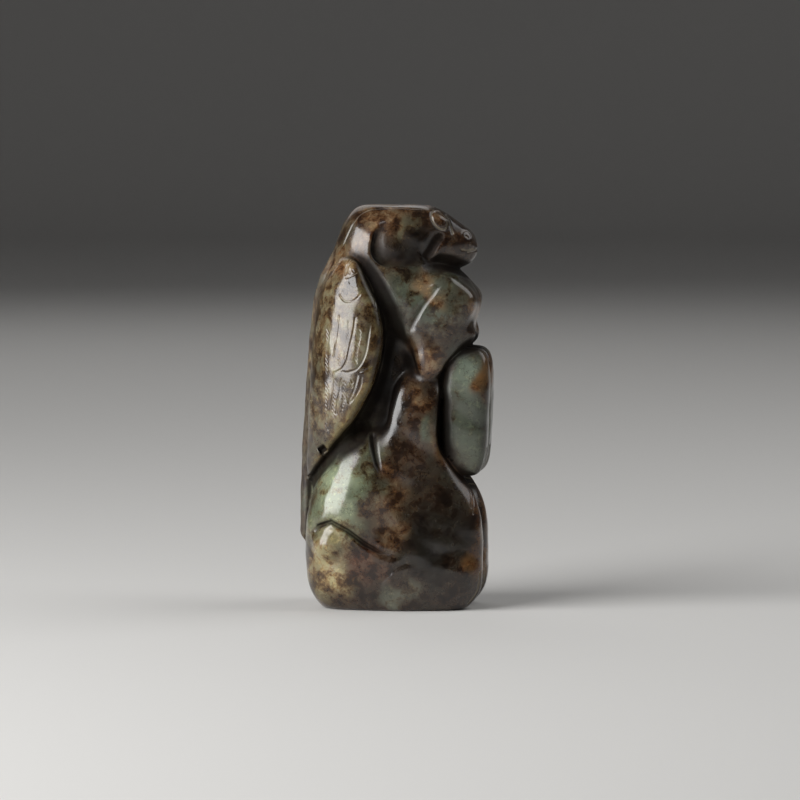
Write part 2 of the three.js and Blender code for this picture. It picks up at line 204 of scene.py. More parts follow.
def ahead_of(line, x, z):
    """Distance ahead of a line that gives x at each height."""
    reach = 0.05
    lean = (line(z + reach) - line(z - reach)) / (2 * reach)
    return (x - line(z)) / np.hypot(1, lean)


def wings(x, w, z):
    shell = wing_shell(x, w, z)
    leaf = trim(shell, ahead_of(LEADING_EDGE, x, z), 2)
    wing = trim(trim(leaf, z - WING_TOP, 2), WING_FOOT - z, 1)
    under = trim(trim(shell + 1.6, x + 6.5, 4), z - WING_TOP, 3)
    return blend(trim(under, 16 - z, 3), wing, 0.5)


# Hind legs, folded under the beast, and the flat of the belly rising from them
BELLY = egg((3.2, 0, 29.3), (8, 9.4, 12.6), power=2.6, tilt=4)
BELLY_BACK = curve([(42, 3), (38, 0.8), (32.7, -0.6), (25, -0.9)])
FRONT_LIP = curve(
    [(37, 8), (31.3, 7.5), (27.2, 8), (24.4, 10.1), (21.2, 12.8), (15.7, 14.9), (11.2, 15.3)]
)
HAUNCH = egg((-7.1, 4.4, 18.6), (6.5, 7.4, 13.4), tilt=20)
THIGH = egg((1.6, 4.7, 11), (13.6, 6, 15.2), power=2.3)
SEAT = egg((-1.4, 0, 6.5), (13.2, 10.6, 9.5), power=2.6)
SHANK = egg((-8, 4.9, 5.6), (6.4, 5.8, 6.6))
HEEL = egg((-10.3, 8.2, 11.3), (3.2, 4, 3.3))
FOOT = egg((6.4, 4.7, 5.6), (8.6, 5.8, 6.2), power=2.4)


def hindquarters(x, w, z):
    leg = blend(blend(HAUNCH(x, w, z), THIGH(x, w, z), 5), SEAT(x, w, z), 3)
    shin = blend(blend(leg, SHANK(x, w, z), 1.2), HEEL(x, w, z), 0.5)
    belly = trim(BELLY(x, w, z), -ahead_of(BELLY_BACK, x, z), 1.2)
    return trim(blend(belly, blend(shin, FOOT(x, w, z), 1), 3), ahead_of(FRONT_LIP, x, z), 0.7)


# Forelegs, folded at the chest, with the paws hanging in front of the belly
ARM_FACE = 8.2
UPPER_ARM = egg((7.7, 3.7, 49.8), (4.8, 5.3, 6.7), power=3.2, tilt=36)
ELBOW = rod([(6.5, 5.6, 46, 3.5), (6.2, 6.6, 41.1, 2)])
FOREARM = rod([(6.6, 6.4, 42.8, 2.2), (11.4, 4.2, 46.4, 2.2)])
PAW = egg((11.9, 3.25, 33.3), (4, 3.4, 10.8), power=4.2, tilt=2)


def foreleg(x, w, z):
    arm = blend(blend(UPPER_ARM(x, w, z), ELBOW(x, w, z), 2), FOREARM(x, w, z), 1.8)
    return trim(arm, w - ARM_FACE, 1.5)


# Head, looking straight ahead, with the ears laid back
SKULL = egg((1.6, 0, 62.6), (7.8, 6.7, 5.6), power=2.3)
MUZZLE = egg((6.6, 0, 61.9), (7.2, 4.4, 4.6), tilt=16)
NOSE = egg((10.6, 1.4, 61.9), (2.4, 2, 2.2))
JAW = egg((8.6, 0, 59.3), (3.9, 3.2, 1.8), tilt=4)
BROW = egg((6.2, 3.1, 65.9), (2.9, 1.5, 1.1), tilt=16, yaw=12)
EYE = egg((7.4, 3.5, 65.1), (1.1, 1.2, 1.8), tilt=-33, yaw=15)
CHEEK = egg((4.4, 3.9, 60.9), (2.7, 2.7, 2.7))
EAR_LINE = curve(
    [(66.5, 0), (65.3, -1.8), (63.5, -3.1), (61.8, -3.6), (60.2, -3.7), (58.6, -3.3), (57, -2.4)]
)
EAR_BACK = -3.7
EAR_FLOOR = 6.1
EAR_NARROWING = 0.08
EAR_FOOT = 57.5
EAR = egg((-0.7, 4.5, 61.3), (2.4, 1.8, 4), power=2.4, tilt=-6)


def ear_recess(x, w, z):
    """Side of the head ahead of the mane, sunk below it and narrowing to the muzzle."""
    floor = EAR_FLOOR - EAR_NARROWING * (x - EAR_BACK) - w
    return trim(trim(floor, -ahead_of(EAR_LINE, x, z), 0.4), EAR_FOOT - z, 3)


def head(x, w, z):
    snout = blend(blend(SKULL(x, w, z), MUZZLE(x, w, z), 2), NOSE(x, w, z), 0.9)
    face = blend(blend(snout, JAW(x, w, z), 0.4), BROW(x, w, z), 0.8)
    return blend(blend(face, EYE(x, w, z), 0.3), CHEEK(x, w, z), 1.2)


# Mane and spine: one ridge over the crown and down the whole back
RIDGE_RADIUS = 2.3
RIDGE_LINE = [
    (4.5, 65.6), (1, 66.1), (-3.9, 66), (-6.6, 63.4), (-8.4, 59.7), (-10.9, 55.3), (-12, 51.3),
    (-12.6, 46), (-13.1, 39), (-13.5, 33), (-13.9, 26), (-14.1, 20), (-14.2, 12.8),
]
TAIL_TIP = (-14.3, 0, 11.2, 1.4)
RIDGE = rod([(x, 0, z, RIDGE_RADIUS) for x, z in RIDGE_LINE] + [TAIL_TIP])

# Creases between the forms, each as path, width, depth and the share that fades at its ends
CREASES = [
    groove([(8.9, 55.6), (7.6, 54.4), (5.2, 51.4), (3.4, 48.4), (2.4, 45.2)], 0.5, 0.25, 0.3, 0.3),
    groove([(-3.5, 30.4), (-2.9, 27.4), (-2.3, 24.9), (-1.2, 22)], 0.5, 0.4, 0.2, 0.4),
    groove(
        [(-13.3, 11.8), (-12.2, 14.2), (-9.9, 15.1), (-7.2, 13.7), (-4.5, 11.6), (-1.7, 10), (2, 9.1)],
        0.45, 0.45, 0.2, 0.3,
    ),
    groove([(4.7, 9.3), (0.6, 7.2), (-2.2, 4.2), (-3.1, 2.8)], 0.4, 0.12, 0.3, 0.3),
    groove([(8.4, 63.6), (7.2, 62.2), (6.2, 60.4), (4.8, 58.6)], 0.8, 0.6, 0.2, 0.2),
    groove([(-12.4, 26.6), (-11, 27.6)], 0.6, 0.6, 0.2, 0.2),
]


def hand_of_the_carver(x, y, z):
    """Slight unevenness left by the grinding wheel."""
    slow = np.sin(0.55 * x + 0.3 * z + 1.2) * np.sin(0.4 * z - 0.45 * y + 0.5)
    quick = np.sin(1.05 * z + 0.9 * x) * np.sin(0.95 * y - 0.6 * z + 2.0)
    return 0.07 * slow + 0.035 * quick


def beast(x, y, z):
    w = np.hypot(y, MIDDLE_SOFTNESS)
    skin = blend(torso(x, w, z), wings(x, w, z), 0.6)
    skin = blend(skin, hindquarters(x, w, z), 1)
    skin = blend(skin, foreleg(x, w, z), 1.6)
    skin = blend(skin, PAW(x, w, z), 0.4)
    skin = blend(skin, head(x, w, z), 0.7)
    skin = trim(skin, -ear_recess(x, w, z), 0.4)
    skin = blend(skin, EAR(x, w, z), 0.3)
    skin = blend(skin, RIDGE(x, w, z), 0.5)
    for crease in CREASES:
        skin = skin + crease(x, w, z)
    skin = skin + hand_of_the_carver(x, y, z)
    return trim(trim(skin, -z, 0.6), z - HEIGHT, 0.5)


def slope_of(field, points, reach=0.02):
    """Outward unit normals of the field at points."""
    x, y, z = points.T
    tetrahedron = np.array([[1, -1, -1], [-1, -1, 1], [-1, 1, -1], [1, 1, 1]], float)
    total = 0
    for k in tetrahedron:
        total = total + k * field(x + reach * k[0], y + reach * k[1], z + reach * k[2])[:, None]
    return total / np.maximum(np.linalg.norm(total, axis=1, keepdims=True), 1e-12)


def settle(field, points, rounds):
    """Points moved onto the skin."""
    for _ in range(rounds):
        gap = field(*points.T)
        points = points - np.clip(gap, -0.3, 0.3)[:, None] * slope_of(field, points)
    return points


# Mesh of the skin

def sampled(field):
    axes = [np.arange(low, high + GRID_STEP, GRID_STEP) for low, high in zip(LOW, HIGH)]
    return field(*np.meshgrid(*axes, indexing="ij"))


def skin_mesh(values):
    """Surface nets: a point in each cube that the skin crosses, and a quad round each crossed edge."""
    inside = values < 0
    cells = tuple(n - 1 for n in values.shape)
    corner = {}
    for i, j, k in np.ndindex(2, 2, 2):
        corner[i, j, k] = tuple(slice(s, s + n) for s, n in zip((i, j, k), cells))
    count = sum(inside[box].astype(np.int8) for box in corner.values())
    mixed = (count > 0) & (count < 8)
    number = np.full(cells, -1)
    number[mixed] = np.arange(mixed.sum())
    total, crossings = np.zeros((mixed.sum(), 3)), np.zeros(mixed.sum())
    for start in corner:
        for axis in range(3):
            if start[axis]:
                continue
            end = tuple(1 if a == axis else s for a, s in enumerate(start))
            a, b = values[corner[start]][mixed], values[corner[end]][mixed]
            crossed = (a < 0) != (b < 0)
            t = np.where(crossed, a / np.where(crossed, a - b, 1), 0)
            spot = np.tile(np.array(start, float), (len(a), 1))
            spot[:, axis] += t
            total += spot * crossed[:, None]
            crossings += crossed
    points = LOW + GRID_STEP * (np.argwhere(mixed) + total / crossings[:, None])
    quads = []
    for axis in range(3):
        u, v = [a for a in range(3) if a != axis]
        ahead = np.roll(inside, -1, axis)
        within = tuple(slice(1, n) if a != axis else slice(0, n) for a, n in enumerate(cells))
        crossed = (inside != ahead)[within]
        spots = np.argwhere(crossed) + np.array([0 if a == axis else 1 for a in range(3)])
        ring = []
        for du, dv in ((1, 1), (0, 1), (0, 0), (1, 0)):
            at = spots.copy()
            at[:, u] -= du
            at[:, v] -= dv
            ring.append(number[tuple(at.T)])
        ring = np.stack(ring, axis=1)
        leaving = inside[tuple(spots.T)]
        flip = leaving if axis == 1 else ~leaving
        ring[flip] = ring[flip][:, ::-1]
        quads.append(ring)
    return points, np.concatenate(quads)


def triangles_of(points, quads):
    """Each quad split along its shorter diagonal."""
    p = points[quads]
    short = np.linalg.norm(p[:, 0] - p[:, 2], axis=1) < np.linalg.norm(p[:, 1] - p[:, 3], axis=1)
    first = np.where(short[:, None], quads[:, [0, 1, 2]], quads[:, [0, 1, 3]])
    second = np.where(short[:, None], quads[:, [0, 2, 3]], quads[:, [1, 2, 3]])
    return np.concatenate([first, second])


def refined(points, faces, wanted):
    """Wanted faces split in four, with their neighbours split to match."""
    sides = np.sort(faces[:, [[0, 1], [1, 2], [2, 0]]], axis=2)
    edges, which = np.unique(sides.reshape(-1, 2), axis=0, return_inverse=True)
    which = which.reshape(-1, 3)
    marked = np.zeros(len(edges), bool)
    marked[which[wanted].ravel()] = True
    middle = np.full(len(edges), -1)
    middle[marked] = len(points) + np.arange(marked.sum())
    points = np.concatenate([points, points[edges[marked]].mean(axis=1)])
    split = marked[which]
    amount = split.sum(axis=1)
    kept = [faces[amount == 0]]
    a, b, c = faces[amount == 3].T
    ab, bc, ca = middle[which[amount == 3]].T
    kept += [np.stack(t, axis=1) for t in ((a, ab, ca), (ab, b, bc), (ca, bc, c), (ab, bc, ca))]
    for lone in range(3):
        turn = [lone, (lone + 1) % 3, (lone + 2) % 3]
        one = (amount == 1) & split[:, lone]
        a, b, c = faces[one][:, turn].T
        ab = middle[which[one][:, lone]]
        kept += [np.stack(t, axis=1) for t in ((a, ab, c), (ab, b, c))]
        two = (amount == 2) & ~split[:, turn[2]]
        a, b, c = faces[two][:, turn].T
        ab, bc = middle[which[two][:, turn[0]]], middle[which[two][:, turn[1]]]
        kept += [np.stack(t, axis=1) for t in ((a, ab, c), (ab, bc, c), (ab, b, bc))]
    return points, np.concatenate(kept)


HOLLOW_REACHES = (1.2, 3.5)
DEEPEST_CREASE = 0.6


# Incised lines: paths in side view as (x, z), cut alike into both flanks

def smooth_path(knots, spacing=0.35):
    """Points at even spacing along a smooth curve through the knots."""
    knots = np.array(knots, float)
    lengths = np.hypot(*np.diff(knots, axis=0).T)
    along = np.concatenate([[0], np.cumsum(lengths)])
    steps = np.linspace(0, along[-1], max(int(along[-1] / spacing), 2) + 1)
    return np.stack([curve(list(zip(along, knots[:, k])))(steps) for k in (0, 1)], axis=1)


FROM_THE_FRONT = np.array([[0, 1, 0], [0, 0, 1], [1, 0, 0]], float)


def on_the_skin(paths, sight):
    """Paths (across, up), as seen along a sight, brought to the skin as (x, w, z)."""
    across, up = np.concatenate(paths).T
    right, lift, back = sight
    spots = np.outer(across, right) + np.outer(up, lift) + 16 * back
    for _ in range(70):
        gap = beast(*spots.T)
        spots -= 0.7 * np.clip(gap, -0.5, 2.0)[:, None] * back
    spots[:, 1] = np.abs(spots[:, 1])
    spots = settle(beast, spots, 3)
    return np.split(spots, np.cumsum([len(path) for path in paths])[:-1])


QUILL = dict(width=0.12, depth=0.13)
BARB = dict(width=0.09, depth=0.07)
LINE = dict(width=0.18, depth=0.22)
TOE = dict(width=0.3, depth=0.3)


def quills():
    """Long shafts of the two tiers of flight feathers, and the hooked hems between the tiers."""
    upper = [
        [(-9.8, 48.9), (-10.1, 45.7), (-10.7, 42.1)],
        [(-7, 48.5), (-7.4, 45.8), (-7.8, 44.3), (-8.5, 41.3), (-9.3, 40), (-10.7, 39.3)],
        [(-4.5, 47.2), (-4.8, 45.2), (-5.4, 42.2), (-6.6, 40.1), (-8.4, 39.4), (-9.3, 39.6)],
        [(-4.2, 40.4), (-5.1, 39.8), (-6.3, 39.5)],
    ]
    lower = [
        [(-9.4, 38.2), (-9.6, 36.6), (-10, 34.4), (-10.2, 32.5)],
        [(-6.6, 39), (-6.9, 37.6), (-7.4, 36), (-8.1, 34.4)],
        [(-5.9, 38.7), (-6.1, 37.1), (-7.1, 35.2), (-8, 34.3)],
        [(-10.7, 39.3), (-10.8, 37.1), (-10.9, 35.2), (-11.5, 31.2), (-11.6, 29.8)],
    ]
    return [(smooth_path(path), QUILL) for path in upper + lower]


def shoulder_scales():
    """Small overlapping feathers on the shoulder of the wing, with ticks in each."""
    hems = [
        [(-8.5, 55.3), (-8, 55.4), (-7.4, 55.7), (-6.7, 56.1)],
        [(-8, 54.6), (-7.7, 54), (-7.2, 53.7), (-6.3, 53.6)],
        [(-9.7, 52.5), (-9.2, 51.7), (-8.6, 51.3), (-7.7, 51.3), (-7, 51.6), (-6.3, 52.3), (-5.9, 53.1)],
        [(-7.9, 58.4), (-8.6, 56.9), (-8.7, 55.8)],
        [(-7.5, 58.2), (-8.2, 57.4), (-8.5, 56.4)],
    ]
    ticks = [
        [(-8.3, 56.9), (-8.2, 56)], [(-7.9, 56.6), (-7.9, 55.9)], [(-7.5, 56.6), (-7.3, 56.3)],
        [(-7.3, 55), (-7.2, 54.6)], [(-6.6, 54.9), (-6.7, 54.5)],
        [(-9.1, 53.2), (-9.3, 52.5)], [(-8.7, 53.6), (-8.9, 52.8)],
        [(-8.2, 53.2), (-8.3, 52.4)], [(-7.7, 52.9), (-7.6, 52.3)],
    ]
    return [(smooth_path(path), QUILL) for path in hems] + [(smooth_path(path, 0.2), BARB) for path in ticks]


def barbs():
    """Short slanting strokes in rows beside the shafts."""
    rows = [
        ((-9.2, 48.2), (-9.9, 40.6), 15), ((-8.2, 48.4), (-8.9, 41.6), 13), ((-6.4, 46.8), (-7.2, 41.4), 10),
        ((-10.4, 38.6), (-11.1, 30.4), 13), ((-8.9, 38.2), (-9.4, 33.4), 8), ((-7.6, 38.4), (-8.6, 35), 6),
        ((-11.9, 38), (-12.1, 29), 13), ((-11.8, 47), (-12, 39.4), 11),
    ]
    strokes = []
    for top, foot, count in rows:
        for t in (np.arange(count) + 0.5) / count:
            x, z = np.array(top) * (1 - t) + np.array(foot) * t
            length = 0.62 + 0.16 * math.sin(9.0 * t + x)
            strokes.append((smooth_path([(x, z), (x + 0.5 * length, z - 0.9 * length)], 0.2), BARB))
    return strokes


def face_lines():
    """Rim of the eye, fold before it, mouth and curl of the nostril."""
    eye = np.array([7.1, 65.1])
    lean = math.radians(33)
    turn = np.array([[math.cos(lean), -math.sin(lean)], [math.sin(lean), math.cos(lean)]])
    around = np.linspace(0, 2 * math.pi, 33)
    rim = eye + np.stack([1.1 * np.cos(around), 1.85 * np.sin(around)], axis=1) @ turn.T
    fold = [(8.3, 66), (8.8, 65.2), (9.1, 64.1), (9.4, 62.8)]
    mouth = [(13, 60.4), (12.4, 60.1), (11.6, 60), (10.9, 60.1)]
    nostril = [(10.8, 62.2), (11, 62.9), (11.6, 63.3), (12.2, 63), (12.5, 62.3)]
    return [
        (rim, LINE), (smooth_path(fold), LINE), (smooth_path(mouth), LINE),
        (smooth_path(nostril, 0.2), QUILL), (smooth_path([(11.6, 62.4), (11.9, 62.2)], 0.2), LINE),
    ]


def hem_lines():
    """Hem of the mane over the crown and the nape, and the rim of the wing's shoulder."""
    mane = [(-9.2, 60.6), (-7.5, 64.2), (-6.2, 66), (-4.3, 66.9), (0, 67.1), (4, 66.9)]
    rim = [(-6, 56.9), (-5.2, 55.6), (-4.5, 54.3), (-3.7, 52), (-3.6, 49.6)]
    return [(smooth_path(path), QUILL) for path in (mane, rim)]


def front_lines():
    """Seen from the front: toes of the paws and of the feet, two lines over each knee, and the lips."""
    strokes = [(smooth_path([(w, 27), (w, 22.9)]), TOE) for w in (2.2, 3.3, 4.4)]
    strokes += [(smooth_path([(w, 6.2), (w, 1.2)]), TOE) for w in (2.7, 4.7, 6.7)]
    for drop in (0, 1):
        knee = [(2.4, 21.6 - drop), (4.6, 21.2 - drop), (6.4, 19.6 - drop), (7.4, 17.4 - drop)]
        strokes.append((smooth_path(knee), QUILL))
    return strokes + [(smooth_path([(0, 60.5), (1.4, 60.4), (2.6, 60.1)]), LINE)]


def mane_lines(rng):
    """Strands along the mane and the spine, as paths (x, w, z) on the ridge."""
    line = np.array(RIDGE_LINE, float)
    run = np.gradient(line, axis=0)
    out = np.stack([run[:, 1], -run[:, 0]], axis=1) / np.linalg.norm(run, axis=1)[:, None]
    out *= np.sign((out * (line - (-4.0, 40.0))).sum(axis=1))[:, None]
    along = np.concatenate([[0], np.cumsum(np.hypot(*np.diff(line, axis=0).T))])
    strands = []
    for turn in (12, 34, 56, 76):
        start = 1.0 + 2.0 * rng.random()
        while start < along[-1] - 3:
            end = min(start + 3 + 5 * rng.random(), along[-1] - 1)
            s = np.arange(start, end, 0.35)
            angle = np.radians(turn + 5 * np.sin(0.9 * s + turn))
            x, z = np.interp(s, along, line[:, 0]), np.interp(s, along, line[:, 1])
            nx, nz = np.interp(s, along, out[:, 0]), np.interp(s, along, out[:, 1])
            reach = RIDGE_RADIUS * np.cos(angle)
            side = RIDGE_RADIUS * np.sin(angle)
            strands.append((np.stack([x + nx * reach, side, z + nz * reach], axis=1), BARB))
            start = end + 0.4 + rng.random()
    return strands


def stroke_depths(points, strokes):
    """How deep the incised lines are cut at each point, and how near the closest one is."""
    folded = points * (1, 0, 1) + np.abs(points) * (0, 1, 0)
    depth, near = np.zeros(len(points)), np.full(len(points), 9.0)
    margin = 0.8
    for path, cut in strokes:
        close = np.all((folded > path.min(axis=0) - margin) & (folded < path.max(axis=0) + margin), axis=1)
        if not close.any():
            continue
        spots = folded[close]
        gap = np.full(len(spots), np.inf)
        for start, end in zip(path[:-1], path[1:]):
            run = end - start
            t = np.clip((spots - start) @ run / max(run @ run, 1e-9), 0, 1)
            gap = np.minimum(gap, np.linalg.norm(spots - start - t[:, None] * run, axis=1))
        near[close] = np.minimum(near[close], gap)
        depth[close] = np.maximum(depth[close], cut["depth"] * np.exp(-((gap / cut["width"]) ** 2)))
    return depth, near


# Colours of the jade under its stains, the tones of the stains, and one lighter grey-green painted as light
CELADON = (0.15, 0.175, 0.11)
CREAM = (0.22, 0.19, 0.10)
OLIVE = (0.14, 0.125, 0.075)
YELLOW_OLIVE = (0.16, 0.12, 0.045)
TAN = (0.14, 0.095, 0.052)
OCHRE = (0.13, 0.065, 0.022)
GREY_GREEN = (0.055, 0.064, 0.045)
# Lighter copy of the grey-green, painted on the top of the paw as light falling there
PAINTED_LIGHT_GREY_GREEN = (0.11, 0.13, 0.10)
SLATE = (0.075, 0.075, 0.055)
UMBER = (0.042, 0.028, 0.018)
RED_BROWN = (0.085, 0.048, 0.030)
NEAR_BLACK = (0.012, 0.010, 0.007)

# Patches of the stone, a few of them painted shade or painted light: colour, share of stain, (x, z) of the
# middle, radii, and forward lean in degrees
PATCHES = [
    (OLIVE, 0.55, (-9, 42), (7.5, 20), 4),
    (UMBER, 0.50, (5, 63), (11, 6.5), 0),
    (UMBER, 0.55, (3.3, 31), (5, 10), 0),
    (NEAR_BLACK, 0.45, (7.5, 12), (9, 10), 0),
    (GREY_GREEN, 0.40, (5, 53), (8, 6), 0),
    (GREY_GREEN, 0.20, (13, 32), (4.5, 11), 0),
    # Painted shade over the stone's own dark, in the deep hollow between the wing and the belly
    (NEAR_BLACK, 0.60, (-0.6, 37), (2.6, 9), -6),
    (CELADON, 0.30, (-8.6, 20), (5.4, 9), 22),
    (CREAM, 0.38, (-10.6, 11), (3.6, 4), 0),
    (CREAM, 0.52, (-10.6, 5.5), (3.2, 4), 0),
    (TAN, 0.50, (-0.5, 16), (3.4, 4.2), 15),
    (RED_BROWN, 0.55, (-4, 8), (3.2, 3.6), 0),
    (SLATE, 0.35, (0.8, 2.8), (3.2, 2), 0),
    (TAN, 0.55, (3.6, 35.5), (1.8, 2.6), 10),
    (TAN, 0.50, (0.9, 23.2), (1.8, 2), 0),
    (GREY_GREEN, 0.30, (6.4, 30), (1.2, 3.4), 0),
    (TAN, 0.35, (6.2, 54), (3.4, 1.8), 40),
    (OCHRE, 0.35, (14.2, 50.5), (1.5, 2.6), 0),
    (TAN, 0.55, (6, 42), (2.4, 2.8), 0),
    # Painted light: the top of the paw made lighter, where light falls over it
    (PAINTED_LIGHT_GREY_GREEN, 0.15, (12.2, 40.6), (2.8, 3), 0),
    (OCHRE, 0.35, (15.8, 40.2), (1.5, 3.4), 0),
    (OCHRE, 0.35, (14.8, 8.6), (2.2, 3), 0),
    (TAN, 0.50, (1, 67.6), (8, 1.8), 0),
    (OLIVE, 0.35, (2, 64.7), (1.7, 2), 0),
    (TAN, 0.55, (-5, 62.5), (2.2, 5), 25),
    (TAN, 0.40, (-9.8, 57.4), (1.8, 3), 30),
    # Dark stain together with painted shade on the upper front bevel of the wing
    (NEAR_BLACK, 0.50, (-3.8, 55), (1.6, 4.2), -28),
    (NEAR_BLACK, 0.50, (3.6, 61), (3.2, 4.6), 0),
    (NEAR_BLACK, 0.70, (-11.6, 27.4), (0.9, 0.7), 60),
]


def stone_colours(points):
    """Colour of the jade, with a few patches of painted shade and painted light, and its share of stain at
    points.
    """
    x, z = points[:, 0], points[:, 2]
    w = np.abs(points[:, 1])
    sway = 0.9 * np.sin(0.8 * z + 0.5 * points[:, 1]) + 0.6 * np.sin(1.7 * x - 0.9 * z)
    rise = 0.9 * np.sin(0.9 * x + 1.1) + 0.6 * np.sin(1.3 * z + 1.2 * x)
    colour = np.tile(np.array(UMBER), (len(points), 1))
    stain = np.full(len(points), 0.5)
    weights = []
    for tone, share, (cx, cz), (rx, rz), lean in PATCHES:
        turn = math.radians(lean)
        dx, dz = x + sway - cx, z + rise - cz
        across = (dx * math.cos(turn) - dz * math.sin(turn)) / rx
        along = (dx * math.sin(turn) + dz * math.cos(turn)) / rz
        weights.append((tone, share, np.exp(-((across**2 + along**2) ** 1.5))))
    on_wing = np.clip((w - 6) / 2, 0, 1) * np.clip((60 - z) / 4, 0, 1) * np.clip((z - 20) / 4, 0, 1)
    rim = np.exp(-((ahead_of(LEADING_EDGE, x + 0.9, z) / 0.9) ** 2))
    weights.append((YELLOW_OLIVE, 0.35, on_wing * rim * np.clip((48 - z) / 8, 0.3, 1)))
    lip = np.exp(-((ahead_of(FRONT_LIP, x + 0.4, z) / 0.7) ** 2)) * np.clip((32 - z) / 6, 0, 1)
    weights.append((OCHRE, 0.45, lip * np.clip((z - 9) / 3, 0, 1) * np.clip((w - 2) / 2, 0, 1)))
    for tone, share, weight in weights:
        colour += weight[:, None] * (np.array(tone) - colour)
        stain += weight * (share - stain)
    return colour, stain


def carved_mesh():
    """Points, faces and the masks of wear, stain and painted shade that the stone's material reads."""
    points, quads = skin_mesh(sampled(beast))
    points = settle(beast, points, 2)
    faces = triangles_of(points, quads)
    strokes = mane_lines(np.random.default_rng(4))
    flank = quills() + shoulder_scales() + barbs() + face_lines() + hem_lines()
    for drawn, sight in ((flank, SIGHT), (front_lines(), FROM_THE_FRONT)):
        paths, cuts = zip(*drawn)
        strokes += zip(on_the_skin(paths, sight), cuts)
    normals = slope_of(beast, points)
    for reach, bend in ((0.4, 0.10), (0.24, 0.06)):
        near = stroke_depths(points, strokes)[1]
        corners = normals[faces]
        turn = 1 - (corners * np.roll(corners, 1, axis=1)).sum(axis=2).min(axis=1)
        points, faces = refined(points, faces, (near[faces] < reach).any(axis=1) | (turn > bend))
        points = settle(beast, points, 1)
        normals = slope_of(beast, points)
    depth, _ = stroke_depths(points, strokes)
    x, y, z = points.T
    # How enclosed each point lies; the material darkens the most enclosed places as dirt and painted shade
    hollows = [1 - beast(*(points + reach * normals).T) / reach for reach in HOLLOW_REACHES]
    creases = sum(crease(x, np.abs(y), z) for crease in CREASES)
    spine = np.exp(-((np.maximum(RIDGE(x, np.abs(y), z), 0) / 0.5) ** 2))
    matrix, stain = stone_colours(points)
    shades = {
        "cut": depth / LINE["depth"],
        "hollow": np.clip(np.maximum(hollows[0], hollows[1]), 0, 1),
        "crease": np.clip(creases / DEEPEST_CREASE, 0, 1),
        "spine": spine,
        "stain": stain,
    }
    return points - depth[:, None] * normals, faces, matrix, shades


def beast_piece(material):
    points, faces, matrix, shades = carved_mesh()
    middle = (points.max(axis=0) + points.min(axis=0)) / 2
    low, high = (np.array(corner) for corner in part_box("beast_carving"))
    scale = (high[2] - low[2]) / HEIGHT
    points = (points - (middle[0], middle[1], 0)) * scale
    points[:, :2] += (low[:2] + high[:2]) / 2
    mesh = bpy.data.meshes.new("jade_beast")
    mesh.from_pydata(points.tolist(), [], faces.tolist())
    for name, values in shades.items():
        mesh.attributes.new(name, "FLOAT", "POINT").data.foreach_set("value", values.astype(np.float32))
    colour = np.column_stack([matrix, np.ones(len(matrix))]).astype(np.float32)
    mesh.attributes.new("matrix", "FLOAT_COLOR", "POINT").data.foreach_set("color", colour.ravel())
    mesh.shade_smooth()
    mesh.materials.append(material)
    piece = bpy.data.objects.new("jade_beast", mesh)
    bpy.context.scene.collection.objects.link(piece)
    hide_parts("beast_carving")
    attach(piece, "root")
    return piece


def plain_material(name, color, roughness):
    material = bpy.data.materials.new(name)
    material.use_nodes = True
    shader = material.node_tree.nodes["Principled BSDF"]
    shader.inputs["Base Color"].default_value = (*color, 1)
    shader.inputs["Roughness"].default_value = roughness
    return material


class Nodes:
    """Short names for making and joining the nodes of one material."""

    def __init__(self, material):
        self.tree = material.node_tree
        self.shader = self.tree.nodes["Principled BSDF"]

    def link(self, value, socket):
        if isinstance(value, bpy.types.NodeSocket):
            self.tree.links.new(value, socket)
        else:
            socket.default_value = value

    def attribute(self, name):
        node = self.tree.nodes.new("ShaderNodeAttribute")
        node.attribute_name = name
        return node

    def share(self, name):
        return self.attribute(name).outputs["Fac"]

    def places(self):
        return self.tree.nodes.new("ShaderNodeTexCoord").outputs["Object"]

    def stretched(self, vector, scale):
        node = self.tree.nodes.new("ShaderNodeVectorMath")
        node.operation = "MULTIPLY"
        self.link(vector, node.inputs[0])
        node.inputs[1].default_value = scale
        return node.outputs["Vector"]

    def noise(self, vector, size, detail=3.0, roughness=0.5, distortion=0.0):
        """Noise whose features are about size millimetres across."""
        node = self.tree.nodes.new("ShaderNodeTexNoise")
        self.link(vector, node.inputs["Vector"])
        node.inputs["Scale"].default_value = 1 / (size * MM)
        node.inputs["Detail"].default_value = detail
        node.inputs["Roughness"].default_value = roughness
        node.inputs["Distortion"].default_value = distortion
        return node.outputs["Fac"]

    def math(self, operation, a, b=0.0, clamp=False):
        node = self.tree.nodes.new("ShaderNodeMath")
        node.operation = operation
        node.use_clamp = clamp
        self.link(a, node.inputs[0])
        self.link(b, node.inputs[1])
        return node.outputs["Value"]

    def ramp(self, value, low, high, start=0.0, end=1.0):
        """Smooth step from start to end while value goes from low to high."""
        node = self.tree.nodes.new("ShaderNodeMapRange")
        node.interpolation_type = "SMOOTHSTEP"
        names = ("Value", "From Min", "From Max", "To Min", "To Max")
        for name, amount in zip(names, (value, low, high, start, end)):
            self.link(amount, node.inputs[name])
        return node.outputs["Result"]

    def mix(self, share, a, b, blend_type="MIX"):
        node = self.tree.nodes.new("ShaderNodeMix")
        node.data_type = "RGBA"
        node.blend_type = blend_type
        self.link(share, node.inputs["Factor"])
        for socket, colour in ((node.inputs["A"], a), (node.inputs["B"], b)):
            self.link((*colour, 1) if isinstance(colour, tuple) else colour, socket)
        return node.outputs["Result"]

    def bump(self, height, strength, depth, normal=None):
        node = self.tree.nodes.new("ShaderNodeBump")
        node.inputs["Strength"].default_value = strength
        node.inputs["Distance"].default_value = depth * MM
        self.link(height, node.inputs["Height"])
        if normal is not None:
            self.link(normal, node.inputs["Normal"])
        return node.outputs["Normal"]


STAIN_BROWN = (0.2, 0.13, 0.09)
STAIN_RUST = (0.72, 0.42, 0.22)
# Near black laid into hollows and creases: partly dirt, partly painted shade
DIRT_AND_PAINTED_SHADE = (0.007, 0.005, 0.004)
CHALK = (0.26, 0.22, 0.15)


